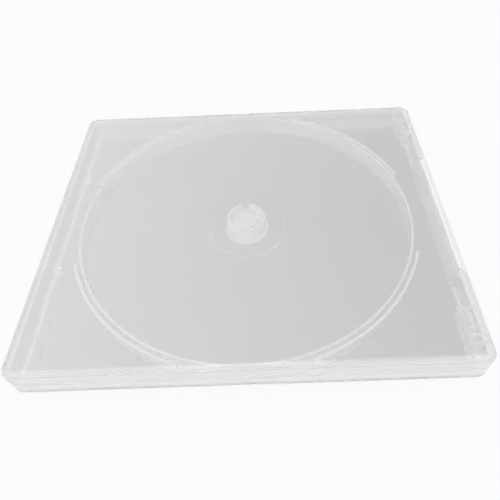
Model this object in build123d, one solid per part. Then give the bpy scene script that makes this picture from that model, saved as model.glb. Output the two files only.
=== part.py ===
from build123d import *
import os

# Clear moulded case for one 120 mm disc: a back half, a spine strip and a cover, closed and lying
# on its back. Millimetres; the spine is at -X, the edge that opens at +X, the cover on top.

# The disc that the case holds
DISC_R = 60.0
DISC_T = 1.2
DISC_CLEAR = 0.3

# Wall round the disc, and four shorter arcs outside it
RING_R = DISC_R + DISC_CLEAR
RING_T = 0.8
ARC_GAP = 1.2
ARC_T = 1.0
ARC_R = RING_R + RING_T + ARC_GAP + ARC_T / 2
ARC_FROM = 19.0
ARC_SWEEP = 52.0
TOP_BEVEL = 0.2
DISC_X = -0.75

# Outside of the closed case, which follows from the ring
WALL = 1.2
PANEL = 1.2
RING_TO_WALL = 0.7
SPINE_MARGIN = 9.0
DEPTH = 2 * (RING_R + RING_T + RING_TO_WALL + WALL)
WIDTH = DEPTH + 2 * SPINE_MARGIN
HEIGHT = 10.4
CORNER_R = 3.6
EDGE_R = 0.5
PARTING_GAP = 0.1
PARTING_BEVEL = 0.15
HALF = (HEIGHT - PARTING_GAP) / 2
CEILING = HEIGHT - PANEL
RIM_X = WIDTH / 2 - WALL
RIM_Y = DEPTH / 2 - WALL

# Spine strip with a round bead along each edge, where the film hinges fold
SPINE_T = 1.2
BEAD_R = SPINE_T / 2
HINGE_CLEAR = 0.05
END_CLEAR = 0.15
SEAT_LIP = 0.4
HINGE_X = -WIDTH / 2 + BEAD_R
SPINE_BAY = DEPTH - 2 * CORNER_R
SPINE_LENGTH = SPINE_BAY - 2 * END_CLEAR

# Finger groove in the opening edge
GROOVE_DEPTH = 2.0
GROOVE_LENGTH = 60.0
GROOVE_R = 1.6

# Low ridge on the back half's rim, which enters a rabbet in the cover's rim
RIDGE_T = 0.5
RIDGE_H = 0.5
RIDGE_CLEAR = 0.1
RIDGE_FROM_SPINE = 22.0

# Shallow recess inside the cover, for a paper insert
INSERT_DEPTH = 0.2
INSERT_R = 2.0
INSERT_FROM_SPINE = 10.0
INSERT_FROM_OPENING = 7.0
INSERT_FROM_SIDE = 4.3

# Heights of the walls on the back panel, each kept under the cover by its own gap
RING_TO_COVER = 0.8
ARC_TO_COVER = 1.0
RING_TOP = CEILING - RING_TO_COVER
ARC_TOP = CEILING - ARC_TO_COVER

# Low round plateau that carries the middle of the disc
SEAT_R = 14.5
SEAT_H = 0.5
SEAT_BEVEL = 0.3
SEAT_TOP = PANEL + SEAT_H

# Hub: a tube with four barbed petals that hold the disc down, and a round button inside it
HUB_R = 7.3
PETAL_T = 1.2
PETAL_TO_COVER = 1.7
PETAL_TOP = CEILING - PETAL_TO_COVER
PETAL_TOP_R = 7.2
PETAL_BEVEL = 0.3
BARB_R = 7.7
BARB_RISE = 0.8
BARB_CLEAR = 0.1
BARB_FOOT_Z = SEAT_TOP + DISC_T + BARB_CLEAR
BARB_Z = BARB_FOOT_Z + BARB_RISE
SLOT_W = 2.2
SLOT_DEPTH = 4.0
SLOT_Z = PETAL_TOP - SLOT_DEPTH
BUTTON_R = 4.75
BUTTON_T = 0.9
BUTTON_TO_PETAL = 0.3
BUTTON_TOP = PETAL_TOP - BUTTON_TO_PETAL
WEB_T = 0.8
WEB_DEPTH = 1.4
WEB_TOP = BUTTON_TOP - WEB_DEPTH

# Two short hollow pegs that hang from the cover beside the spine
PEG_FROM_SPINE = 6.9
PEG_X = PEG_FROM_SPINE - WIDTH / 2
PEG_Y = 23.1
PEG_R = 1.3
PEG_LENGTH = 2.5
PEG_END = CEILING - PEG_LENGTH
PEG_BEVEL = 0.2
PEG_BORE_R = 0.6
PEG_BORE_DEPTH = 2.0

# Latches near the corners of the opening edge: a box of thin walls on the cover
LATCH_T = 0.8
LATCH_LENGTH = 17.8
LATCH_WIDTH = 6.2
LATCH_X = RIM_X - LATCH_WIDTH
LATCH_Y = RIM_Y - LATCH_LENGTH
LATCH_DROP = 2.8
COMB_FROM = 6.6
COMB_PITCH = 2.7
COMB_COUNT = 3

# The tongue on the back half that stands in that box, and the catch that it snaps over
TONGUE_T = 1.0
TONGUE_FROM_RIM = 2.8
TONGUE_X = RIM_X - TONGUE_FROM_RIM
TONGUE_FROM_BOX = 1.6
TONGUE_Y = LATCH_Y + TONGUE_FROM_BOX
TONGUE_W = 4.4
TONGUE_TO_COVER = 0.7
TONGUE_TOP = CEILING - TONGUE_TO_COVER
NOSE_OUT = 1.25
NOSE_T = 0.8
CATCH_OUT = 0.8
CATCH_T = 0.6
CATCH_CLEAR = 0.3

# How far one wall runs into the next, so that the two join as one solid
JOIN = 0.3


def outline():
    return RectangleRounded(WIDTH, DEPTH, CORNER_R)


def groove_plan():
    return Pos(WIDTH / 2, 0) * RectangleRounded(2 * GROOVE_DEPTH, GROOVE_LENGTH, GROOVE_R)


def rim_plan():
    return outline() - groove_plan()


def block(x0, x1, y0, y1, z0, z1):
    size = Box(x1 - x0, y1 - y0, z1 - z0)
    return Pos((x0 + x1) / 2, (y0 + y1) / 2, (z0 + z1) / 2) * size


def standing(plan, z0, z1):
    return Pos(0, 0, z0) * extrude(plan, z1 - z0)


def both_sides(part):
    return part + part.mirror(Plane.XZ)


def on_top(part):
    """The same thing turned over, hanging from the cover."""
    return part.mirror(Plane.XY.offset(HEIGHT / 2))


def spine_bay():
    """Room for the strip and its bead; a narrow lip of panel stays under the bead."""
    half_bay = SPINE_BAY / 2
    outside = -WIDTH / 2 - WALL
    wall_face = HINGE_X + BEAD_R + HINGE_CLEAR
    upper = block(outside, wall_face, -half_bay, half_bay, BEAD_R, HEIGHT)
    lower = block(outside, HINGE_X + SEAT_LIP, -half_bay, half_bay, -PANEL, BEAD_R)
    seat = Pos(HINGE_X, 0, BEAD_R) * Rot(90, 0, 0) * Cylinder(BEAD_R + HINGE_CLEAR, SPINE_BAY)
    return upper + lower + seat


def half_shell():
    """Panel and rim of one half, lying panel down."""
    shell = extrude(outline(), HALF)
    shell = fillet(shell.edges().group_by(Axis.Z)[0], EDGE_R)
    shell = chamfer(shell.edges().group_by(Axis.Z)[-1], PARTING_BEVEL)
    shell -= standing(groove_plan(), PANEL, HEIGHT)
    shell -= standing(offset(rim_plan(), -WALL), PANEL, HEIGHT)
    return shell - spine_bay()


def rim_ridge(extra):
    """Ridge along the inner side of the rim; extra widens it into the rabbet that takes it."""
    outer = offset(rim_plan(), -(WALL - RIDGE_T - extra))
    inner = offset(rim_plan(), -WALL)
    ridge = standing(outer - inner, HALF - JOIN, HALF + RIDGE_H + extra)
    near_spine = RIDGE_FROM_SPINE - extra - WIDTH / 2
    return ridge - block(-WIDTH, near_spine, -DEPTH, DEPTH, 0, HEIGHT)


def insert_recess():
    x0 = INSERT_FROM_SPINE - WIDTH / 2
    x1 = WIDTH / 2 - INSERT_FROM_OPENING
    plan = RectangleRounded(x1 - x0, DEPTH - 2 * INSERT_FROM_SIDE, INSERT_R)
    return standing(Pos((x0 + x1) / 2, 0) * plan, PANEL - INSERT_DEPTH, PANEL)


def bevel_top(part, size):
    return chamfer(part.edges().group_by(Axis.Z)[-1], size)


def disc_ring():
    plan = Circle(RING_R + RING_T) - Circle(RING_R)
    return bevel_top(standing(plan, PANEL - JOIN, RING_TOP), TOP_BEVEL)


def outer_arcs():
    line = CenterArc((0, 0), ARC_R, ARC_FROM, ARC_SWEEP)
    arc = bevel_top(standing(SlotArc(line, ARC_T), PANEL - JOIN, ARC_TOP), TOP_BEVEL)
    arcs = arc
    for quarter in range(1, 4):
        arcs += Rot(0, 0, 90 * quarter) * arc
    return arcs


def disc_seat():
    return bevel_top(standing(Circle(SEAT_R), PANEL - JOIN, SEAT_TOP), SEAT_BEVEL)


def petals():
    """Tube with a barbed top, cut into four petals."""
    inner = HUB_R - PETAL_T
    foot = PANEL - JOIN
    side = Polyline(
        (inner, foot), (HUB_R, foot), (HUB_R, BARB_FOOT_Z), (BARB_R, BARB_Z),
        (PETAL_TOP_R, PETAL_TOP - PETAL_BEVEL), (PETAL_TOP_R - PETAL_BEVEL, PETAL_TOP),
        (inner, PETAL_TOP), close=True)
    crown = revolve(make_face(Plane.XZ * side), Axis.Z)
    reach = BARB_R + JOIN
    slot = block(-reach, reach, -SLOT_W / 2, SLOT_W / 2, SLOT_Z, PETAL_TOP + JOIN)
    return crown - slot - Rot(0, 0, 90) * slot


def button():
    solid = standing(Circle(BUTTON_R), PANEL - JOIN, BUTTON_TOP)
    return solid - standing(Circle(BUTTON_R - BUTTON_T), WEB_TOP, BUTTON_TOP + JOIN)


def button_core():
    return standing(Circle(BUTTON_R - BUTTON_T), -JOIN, WEB_TOP - WEB_T)


def peg():
    post = standing(Circle(PEG_R), PEG_END, CEILING + JOIN)
    post = chamfer(post.edges().group_by(Axis.Z)[0], PEG_BEVEL)
    bore = standing(Circle(PEG_BORE_R), PEG_END - JOIN, PEG_END + PEG_BORE_DEPTH)
    return Pos(PEG_X, PEG_Y, 0) * (post - bore)


def latch_tongue():
    """Springy tongue on the back half; its nose sits above the cover's catch."""
    face = TONGUE_X + TONGUE_T
    nose_z = TONGUE_TOP - NOSE_T
    side = Polyline(
        (TONGUE_X, PANEL - JOIN), (face, PANEL - JOIN), (face, nose_z),
        (face + NOSE_OUT, nose_z), (face, TONGUE_TOP), (TONGUE_X, TONGUE_TOP), close=True)
    plate = extrude(Plane.XZ * make_face(side), -TONGUE_W)
    return Pos(0, TONGUE_Y, 0) * plate


def latch_box():
    """Walls and comb ribs that hang from the cover round the tongue."""
    top = CEILING + JOIN
    low = CEILING - LATCH_DROP
    rim = RIM_X + JOIN
    box = block(LATCH_X, LATCH_X + LATCH_T, LATCH_Y, RIM_Y + JOIN, low, top)
    box += block(LATCH_X, rim, LATCH_Y, LATCH_Y + LATCH_T, low, top)
    for rib in range(COMB_COUNT):
        y0 = LATCH_Y + COMB_FROM + rib * COMB_PITCH
        box += block(LATCH_X, rim, y0, y0 + LATCH_T, low, top)
    return box


def latch_catch():
    """Ledge on the cover's rim that snaps under the tongue's nose."""
    top = TONGUE_TOP - NOSE_T - CATCH_CLEAR
    y1 = TONGUE_Y + TONGUE_W
    return block(RIM_X - CATCH_OUT, RIM_X + JOIN, TONGUE_Y, y1, top - CATCH_T, top)


def make_back_half():
    round_things = disc_ring() + outer_arcs() + disc_seat() + petals() + button()
    back = half_shell() + rim_ridge(0) + Pos(DISC_X, 0, 0) * round_things
    back -= Pos(DISC_X, 0, 0) * button_core()
    return back + both_sides(latch_tongue())


def make_spine():
    section = Rot(0, 0, 90) * SlotOverall(HEIGHT, SPINE_T)
    strip = extrude(Plane.XZ * section, SPINE_LENGTH / 2, both=True)
    return Pos(HINGE_X, 0, HEIGHT / 2) * strip


def make_front_cover():
    cover = on_top(half_shell() - insert_recess()) - rim_ridge(RIDGE_CLEAR)
    return cover + both_sides(peg()) + both_sides(latch_box()) + both_sides(latch_catch())


os.makedirs("parts", exist_ok=True)
nodes = {"back_half": make_back_half(), "spine": make_spine(), "front_cover": make_front_cover()}
for name, node in nodes.items():
    export_step(node, os.path.join("parts", name + ".step"))
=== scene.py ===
import bpy
from mathutils import Matrix, Vector


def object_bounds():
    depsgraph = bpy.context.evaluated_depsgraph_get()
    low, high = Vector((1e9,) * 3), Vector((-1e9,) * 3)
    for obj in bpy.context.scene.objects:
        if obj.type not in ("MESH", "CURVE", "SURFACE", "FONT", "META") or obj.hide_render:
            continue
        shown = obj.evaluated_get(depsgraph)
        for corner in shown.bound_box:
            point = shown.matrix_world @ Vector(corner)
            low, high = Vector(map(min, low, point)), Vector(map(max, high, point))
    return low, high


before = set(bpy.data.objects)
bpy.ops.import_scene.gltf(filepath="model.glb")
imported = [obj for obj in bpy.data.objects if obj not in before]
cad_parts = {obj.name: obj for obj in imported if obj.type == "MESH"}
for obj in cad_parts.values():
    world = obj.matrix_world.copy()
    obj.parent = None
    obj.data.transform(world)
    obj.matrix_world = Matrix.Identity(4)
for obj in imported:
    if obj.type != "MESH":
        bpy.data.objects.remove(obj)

cad_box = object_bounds()
bpy.ops.object.select_all(action="DESELECT")

# Back half: the panel that lies on the table, with its rim, disc ring, hub and latch tongues. It
# is clear polypropylene, injection moulded in a polished mould in one shot with the spine and the
# cover, so the plastic is defined here for all three.
MM = 0.001
half_length, half_depth = cad_box[1][0], cad_box[1][1]

# Places of the stretches that look different, as they are in the solids
HUB_CENTRE = (-0.75 * MM, 0.0, 0.0)
HUB_R = 8.2 * MM
SEAT_R = 15.0 * MM
PEG_PLACE = (65.1 * MM, 23.1 * MM, 0.0)
PEG_R = 1.4 * MM
RIM_DEPTH = 1.0 * MM
WALL_TOPS = 7.45 * MM
NO_WALL_TOPS = 20.0 * MM
TOP_FADE = 0.3 * MM
HUB_FADE = 0.2 * MM
SEAT_FADE = 0.5 * MM
PEG_FADE = 0.1 * MM

# How level a face is: 1 lies flat, 0 stands upright
PANEL_LEVEL = (0.96, 0.995)
TOP_LEVEL = (0.3, 0.6)
# Milk by how level a face is: a faint haze on the flat panels, and painted highlights on roundings
# and upright walls
HAZE_AND_HIGHLIGHT_BY_LEVEL = ((0.0, 0.28), (0.10, 0.28), (0.25, 0.75), (0.93, 0.75), (0.99, 0.02))

# How far out a spot is, as a share of the way to the rim's middle
INSIDE_RIM = (0.976, 0.978)
RIM_FACES = (0.993, 0.996)

# Share of light that the milk scatters where it paints light on, more than on the flat panels:
# painted highlights on the wall tops and seat edge, and painted light on the rim's faces, hub and
# pegs
WALL_TOP_HIGHLIGHT = 0.9
SEAT_EDGE_HIGHLIGHT = 0.5
RIM_PAINTED_LIGHT = 0.34
HUB_PAINTED_LIGHT = 0.6
PEG_PAINTED_LIGHT = 0.8

# Polished polypropylene. Its waves are the slight unevenness that the flow of the shot leaves.
GLOSS_ROUGHNESS = 0.14
PLASTIC_IOR = 1.49
WAVE_STRENGTH = 0.15
WAVE_HEIGHT = 0.002 * MM
WAVE_DETAIL = 2.0
BACK_WAVES = 18.0 * MM

# Sockets of a Mix node that mixes colours
FACTOR, COLOUR_A, COLOUR_B, MIXED = 0, 6, 7, 2


def linear(hex_colour):
    """An sRGB hex colour as linear RGBA."""
    channels = [int(hex_colour[i:i + 2], 16) / 255 for i in (0, 2, 4)]
    flat = [c / 12.92 if c <= 0.04045 else ((c + 0.055) / 1.055) ** 2.4 for c in channels]
    return (*flat, 1.0)


def add_node(tree, kind, settings=None, inputs=None):
    """One node with its settings. An input takes a value, or the socket that feeds it."""
    node = tree.nodes.new(kind)
    for name, value in (settings or {}).items():
        setattr(node, name, value)
    for key, value in (inputs or {}).items():
        if isinstance(value, bpy.types.NodeSocket):
            tree.links.new(value, node.inputs[key])
        else:
            node.inputs[key].default_value = value
    return node


def distance_from(tree, spot, centre):
    """How far a spot is from an upright axis through the centre."""
    away = add_node(tree, "ShaderNodeVectorMath", {"operation": "SUBTRACT"}, {0: spot, 1: centre})
    level = add_node(
        tree, "ShaderNodeVectorMath", {"operation": "MULTIPLY"},
        {0: away.outputs[0], 1: (1.0, 1.0, 0.0)})
    length = add_node(
        tree, "ShaderNodeVectorMath", {"operation": "LENGTH"}, {0: level.outputs[0]})
    return length.outputs["Value"]


def find_zones(tree, place, hub_radius):
    """Sockets that tell how level a face is, and how near the hub, a peg and the rim."""
    spot = place.outputs["Object"]
    facing = add_node(tree, "ShaderNodeSeparateXYZ", inputs={0: place.outputs["Normal"]})
    level = add_node(
        tree, "ShaderNodeMath", {"operation": "ABSOLUTE"}, {0: facing.outputs["Z"]})
    flat = add_node(
        tree, "ShaderNodeMapRange",
        inputs={"Value": level.outputs[0], "From Min": PANEL_LEVEL[0], "From Max": PANEL_LEVEL[1]})
    from_hub = distance_from(tree, spot, HUB_CENTRE)
    hub = add_node(
        tree, "ShaderNodeMapRange",
        inputs={"Value": from_hub, "From Min": hub_radius - HUB_FADE, "From Max": hub_radius,
                "To Min": 1.0, "To Max": 0.0})
    mirrored = add_node(tree, "ShaderNodeVectorMath", {"operation": "ABSOLUTE"}, {0: spot})
    peg = add_node(
        tree, "ShaderNodeMapRange",
        inputs={"Value": distance_from(tree, mirrored.outputs[0], PEG_PLACE),
                "From Min": PEG_R, "From Max": PEG_R + PEG_FADE,
                "To Min": PEG_PAINTED_LIGHT, "To Max": 0.0})
    share = add_node(
        tree, "ShaderNodeVectorMath", {"operation": "DIVIDE"},
        {0: mirrored.outputs[0], 1: (half_length - RIM_DEPTH, half_depth - RIM_DEPTH, 1.0)})
    ways = add_node(tree, "ShaderNodeSeparateXYZ", inputs={0: share.outputs[0]})
    outward = add_node(
        tree, "ShaderNodeMath", {"operation": "MAXIMUM"},
        {0: ways.outputs["X"], 1: ways.outputs["Y"]})
    inside = add_node(
        tree, "ShaderNodeMapRange",
        inputs={"Value": outward.outputs[0], "From Min": INSIDE_RIM[0], "From Max": INSIDE_RIM[1],
                "To Min": 1.0, "To Max": 0.0})
    return {
        "upward": facing.outputs["Z"], "level": level.outputs[0], "flat": flat.outputs["Result"],
        "from_hub": from_hub, "hub": hub.outputs["Result"], "peg": peg.outputs["Result"],
        "outward": outward.outputs[0], "inside": inside.outputs["Result"]}


def painted_panel_shade(tree, place, zones):
    """Painted shade on the two panels inside the rim: a grey tint that makes the inside darker than
    the white table. It is a little deeper towards the opening edge, where the room's light is weaker.
    """
    spot = add_node(tree, "ShaderNodeSeparateXYZ", inputs={0: place.outputs["Object"]})
    along = add_node(
        tree, "ShaderNodeMapRange",
        inputs={"Value": spot.outputs["X"], "From Min": -half_length, "From Max": half_length})
    # Painted shade: greyer towards the opening edge, where the room is dimmer
    panel = add_node(
        tree, "ShaderNodeMix", {"data_type": "RGBA"},
        {FACTOR: along.outputs["Result"], COLOUR_A: linear("F0EFEE"), COLOUR_B: linear("E5E4E3")})
    beyond_hub = add_node(
        tree, "ShaderNodeMath", {"operation": "SUBTRACT"}, {0: 1.0, 1: zones["hub"]})
    between = add_node(
        tree, "ShaderNodeMath", {"operation": "MULTIPLY"},
        {0: beyond_hub.outputs[0], 1: zones["inside"]})
    amount = add_node(
        tree, "ShaderNodeMath", {"operation": "MULTIPLY"},
        {0: zones["flat"], 1: between.outputs[0]})
    painted_shade = add_node(
        tree, "ShaderNodeMix", {"data_type": "RGBA"},
        {FACTOR: amount.outputs[0], COLOUR_A: linear("FEFEFE"), COLOUR_B: panel.outputs[MIXED]})
    return painted_shade.outputs[MIXED]


def wall_painted_highlights(tree, place, zones, wall_tops):
    """Painted highlights: milk on bevels, roundings and upright walls, and most on the walls' tops,
    which paints light lines along them.
    """
    edge = add_node(tree, "ShaderNodeValToRGB", inputs={"Fac": zones["level"]})
    stops = edge.color_ramp.elements
    for level, share in HAZE_AND_HIGHLIGHT_BY_LEVEL:
        stops.new(level).color = (share, share, share, 1.0)
    stops.remove(stops[0])
    stops.remove(stops[-1])
    past_seat = add_node(
        tree, "ShaderNodeMapRange",
        inputs={"Value": zones["from_hub"], "From Min": SEAT_R, "From Max": SEAT_R + SEAT_FADE,
                "To Min": SEAT_EDGE_HIGHLIGHT, "To Max": 1.0})
    rounded = add_node(
        tree, "ShaderNodeMath", {"operation": "MULTIPLY"},
        {0: edge.outputs["Color"], 1: past_seat.outputs["Result"]})
    upward = add_node(
        tree, "ShaderNodeMapRange",
        inputs={"Value": zones["upward"], "From Min": TOP_LEVEL[0], "From Max": TOP_LEVEL[1]})
    spot = add_node(tree, "ShaderNodeSeparateXYZ", inputs={0: place.outputs["Object"]})
    high = add_node(
        tree, "ShaderNodeMapRange",
        inputs={"Value": spot.outputs["Z"], "From Min": wall_tops - TOP_FADE,
                "From Max": wall_tops, "To Max": WALL_TOP_HIGHLIGHT})
    top = add_node(
        tree, "ShaderNodeMath", {"operation": "MULTIPLY"},
        {0: upward.outputs["Result"], 1: high.outputs["Result"]})
    walls = add_node(
        tree, "ShaderNodeMath", {"operation": "MAXIMUM"},
        {0: rounded.outputs[0], 1: top.outputs[0]})
    return walls.outputs[0]


def haze_and_painted_light_share(tree, place, zones, wall_tops):
    """Share of milk over the whole piece: a faint haze on the flat panels, and painted light on the
    walls, the rim's faces, the hub and the pegs.
    """
    rim = add_node(
        tree, "ShaderNodeMapRange",
        inputs={"Value": zones["outward"], "From Min": RIM_FACES[0], "From Max": RIM_FACES[1],
                "To Max": RIM_PAINTED_LIGHT})
    walls = add_node(
        tree, "ShaderNodeMath", {"operation": "MAXIMUM"},
        {0: wall_painted_highlights(tree, place, zones, wall_tops), 1: rim.outputs["Result"]})
    hub = add_node(
        tree, "ShaderNodeMath", {"operation": "MULTIPLY"}, {0: zones["hub"], 1: HUB_PAINTED_LIGHT})
    upright = add_node(
        tree, "ShaderNodeMath", {"operation": "SUBTRACT"}, {0: 1.0, 1: zones["flat"]})
    peg = add_node(
        tree, "ShaderNodeMath", {"operation": "MULTIPLY"},
        {0: zones["peg"], 1: upright.outputs[0]})
    hub_and_peg_light = add_node(
        tree, "ShaderNodeMath", {"operation": "MAXIMUM"}, {0: hub.outputs[0], 1: peg.outputs[0]})
    whole = add_node(
        tree, "ShaderNodeMath", {"operation": "MAXIMUM"},
        {0: walls.outputs[0], 1: hub_and_peg_light.outputs[0]})
    return whole.outputs[0]


def clear_polypropylene(name, waves, hub_radius, wall_tops):
    """Clear moulded plastic. Light passes and bends, and some of it scatters as milk, a faint haze of
    the plastic's own. On the edges, walls, hub and pegs the milk's share is raised to paint light
    lines and lighter parts there: painted highlights. The two panels carry painted shade, a grey
    tint. The light of the room goes straight through, so that the inside is as bright as in a real
    case."""
    material = bpy.data.materials.new(name)
    material.use_nodes = True
    tree = material.node_tree
    tree.nodes.clear()
    place = add_node(tree, "ShaderNodeTexCoord")
    zones = find_zones(tree, place, hub_radius)
    unevenness = add_node(
        tree, "ShaderNodeTexNoise",
        inputs={"Vector": place.outputs["Object"], "Scale": 1 / waves, "Detail": WAVE_DETAIL})
    bump = add_node(
        tree, "ShaderNodeBump",
        inputs={"Height": unevenness.outputs["Fac"], "Strength": WAVE_STRENGTH,
                "Distance": WAVE_HEIGHT})
    clear = add_node(
        tree, "ShaderNodeBsdfPrincipled",
        inputs={"Base Color": painted_panel_shade(tree, place, zones), "Roughness": GLOSS_ROUGHNESS,
                "IOR": PLASTIC_IOR, "Transmission Weight": 1.0, "Normal": bump.outputs["Normal"]})
    # The painted light's milk is white inside the rim and greyer on the rim's faces
    milk_colour = add_node(
        tree, "ShaderNodeMix", {"data_type": "RGBA"},
        {FACTOR: zones["inside"], COLOUR_A: linear("E9E8E6"), COLOUR_B: linear("FFFFFF")})
    milk = add_node(
        tree, "ShaderNodeBsdfDiffuse", inputs={"Color": milk_colour.outputs[MIXED]})
    body = add_node(
        tree, "ShaderNodeMixShader",
        inputs={0: haze_and_painted_light_share(tree, place, zones, wall_tops), 1: clear.outputs[0],
                2: milk.outputs[0]})
    let_through = add_node(
        tree, "ShaderNodeMix", {"data_type": "RGBA"},
        {FACTOR: zones["flat"], COLOUR_A: linear("FFFFFF"), COLOUR_B: linear("FCFCFC")})
    room_light = add_node(
        tree, "ShaderNodeBsdfTransparent", inputs={"Color": let_through.outputs[MIXED]})
    ray = add_node(tree, "ShaderNodeLightPath")
    lighting = add_node(
        tree, "ShaderNodeMath", {"operation": "MAXIMUM"},
        {0: ray.outputs["Is Shadow Ray"], 1: ray.outputs["Is Diffuse Ray"]})
    surface = add_node(
        tree, "ShaderNodeMixShader",
        inputs={0: lighting.outputs[0], 1: body.outputs[0], 2: room_light.outputs[0]})
    add_node(tree, "ShaderNodeOutputMaterial", inputs={"Surface": surface.outputs[0]})
    return material


def dress(node_name, material):
    """Give a solid its material."""
    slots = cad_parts[node_name].data.materials
    slots.clear()
    slots.append(material)


dress("back_half", clear_polypropylene(
    "clear polypropylene, polished mould", BACK_WAVES, HUB_R, WALL_TOPS))

# Spine: the strip between the two film hinges. It is the same shot of clear polypropylene, and
# being narrow it has shorter waves.
SPINE_WAVES = 12.0 * MM
dress("spine", clear_polypropylene(
    "clear polypropylene, spine strip", SPINE_WAVES, 0.0, NO_WALL_TOPS))

# Cover: the panel on top, with its rim, pegs, latch boxes and catch ledges. It is moulded flat
# beside the back half, of the same clear polypropylene, and folded over.
COVER_WAVES = 25.0 * MM
dress("front_cover", clear_polypropylene(
    "clear polypropylene, cover", COVER_WAVES, 0.0, NO_WALL_TOPS))

# Table: a plain pale sheet, which keeps the case's soft shadow. A share of its white is its own,
# for the camera and in reflections and through the plastic.
TABLE_SIZE = 6.0
TABLE_DROP = 0.2 * MM
OWN_WHITE = 0.25
bpy.ops.mesh.primitive_plane_add(size=TABLE_SIZE, location=(0.0, 0.0, -TABLE_DROP))
table = bpy.context.object
table.name = "table"
pale = bpy.data.materials.new("white board")
pale.use_nodes = True
board = pale.node_tree
board.nodes.clear()
matt = add_node(board, "ShaderNodeBsdfDiffuse", inputs={"Color": linear("FFFFFF")})
white = add_node(board, "ShaderNodeEmission", inputs={"Strength": 1.0})
ray = add_node(board, "ShaderNodeLightPath")
through_plastic = add_node(
    board, "ShaderNodeMath", {"operation": "MAXIMUM"},
    {0: ray.outputs["Is Glossy Ray"], 1: ray.outputs["Is Transmission Ray"]})
seen = add_node(
    board, "ShaderNodeMath", {"operation": "MAXIMUM"},
    {0: ray.outputs["Is Camera Ray"], 1: through_plastic.outputs[0]})
own = add_node(board, "ShaderNodeMath", {"operation": "MULTIPLY"}, {0: seen.outputs[0], 1: OWN_WHITE})
sheet = add_node(
    board, "ShaderNodeMixShader", inputs={0: own.outputs[0], 1: matt.outputs[0], 2: white.outputs[0]})
add_node(board, "ShaderNodeOutputMaterial", inputs={"Surface": sheet.outputs[0]})
table.data.materials.append(pale)

# Light: a pale room, brightest high on the left, and dimmer low down and on the right. Light
# bounces often inside clear plastic, so many bounces are followed.
BRIGHT_SIDE = (-0.62, -0.10, 0.78)
DIM_FROM, BRIGHT_TO = -0.6, 1.0
DIM, BRIGHT = 0.67, 1.09
CLEAR_BOUNCES = 64
DIFFUSE_BOUNCES = 8
room = bpy.data.worlds.new("room")
bpy.context.scene.world = room
room.use_nodes = True
room.cycles.sampling_method = "NONE"
sky = room.node_tree
way = add_node(sky, "ShaderNodeTexCoord")
leaning = add_node(
    sky, "ShaderNodeVectorMath", {"operation": "DOT_PRODUCT"},
    {0: way.outputs["Generated"], 1: BRIGHT_SIDE})
strength = add_node(
    sky, "ShaderNodeMapRange",
    inputs={"Value": leaning.outputs["Value"], "From Min": DIM_FROM, "From Max": BRIGHT_TO,
            "To Min": DIM, "To Max": BRIGHT})
background = sky.nodes["Background"]
background.inputs["Color"].default_value = linear("FFFFFF")
sky.links.new(strength.outputs["Result"], background.inputs["Strength"])
cycles = bpy.context.scene.cycles
cycles.caustics_reflective = False
cycles.caustics_refractive = False
cycles.max_bounces = CLEAR_BOUNCES
cycles.transmission_bounces = CLEAR_BOUNCES
cycles.glossy_bounces = CLEAR_BOUNCES
cycles.transparent_max_bounces = CLEAR_BOUNCES
cycles.diffuse_bounces = DIFFUSE_BOUNCES

# Camera: held close over the front edge, looking down at the case. Its place, directions and
# focal length are those at which the case's edges and ring fall as they do in the picture.
IMAGE_SIZE = 500
FOCAL_LENGTH = 464.1
SENSOR_WIDTH = 36.0
NEAR_LIMIT = 0.005
CAMERA_PLACE = Vector((0.0080008, -0.1212078, 0.133368))
RIGHT = Vector((0.9992198, -0.021051, -0.0334158))
DOWN = Vector((-0.0373739, -0.7774945, -0.6277782))
AHEAD = Vector((-0.0127653, 0.6285373, -0.7776746))
SHIFT_X, SHIFT_Y = -0.030, 0.0146
camera = bpy.data.cameras.new("camera")
camera.sensor_width = SENSOR_WIDTH
camera.lens = FOCAL_LENGTH / IMAGE_SIZE * SENSOR_WIDTH
camera.shift_x = SHIFT_X
camera.shift_y = SHIFT_Y
camera.clip_start = NEAR_LIMIT
camera_object = bpy.data.objects.new("camera", camera)
bpy.context.scene.collection.objects.link(camera_object)
camera_object.matrix_world = Matrix.LocRotScale(
    CAMERA_PLACE, Matrix((RIGHT, -DOWN, -AHEAD)).transposed(), None)
bpy.context.scene.camera = camera_object
bpy.context.scene.view_settings.view_transform = "Standard"
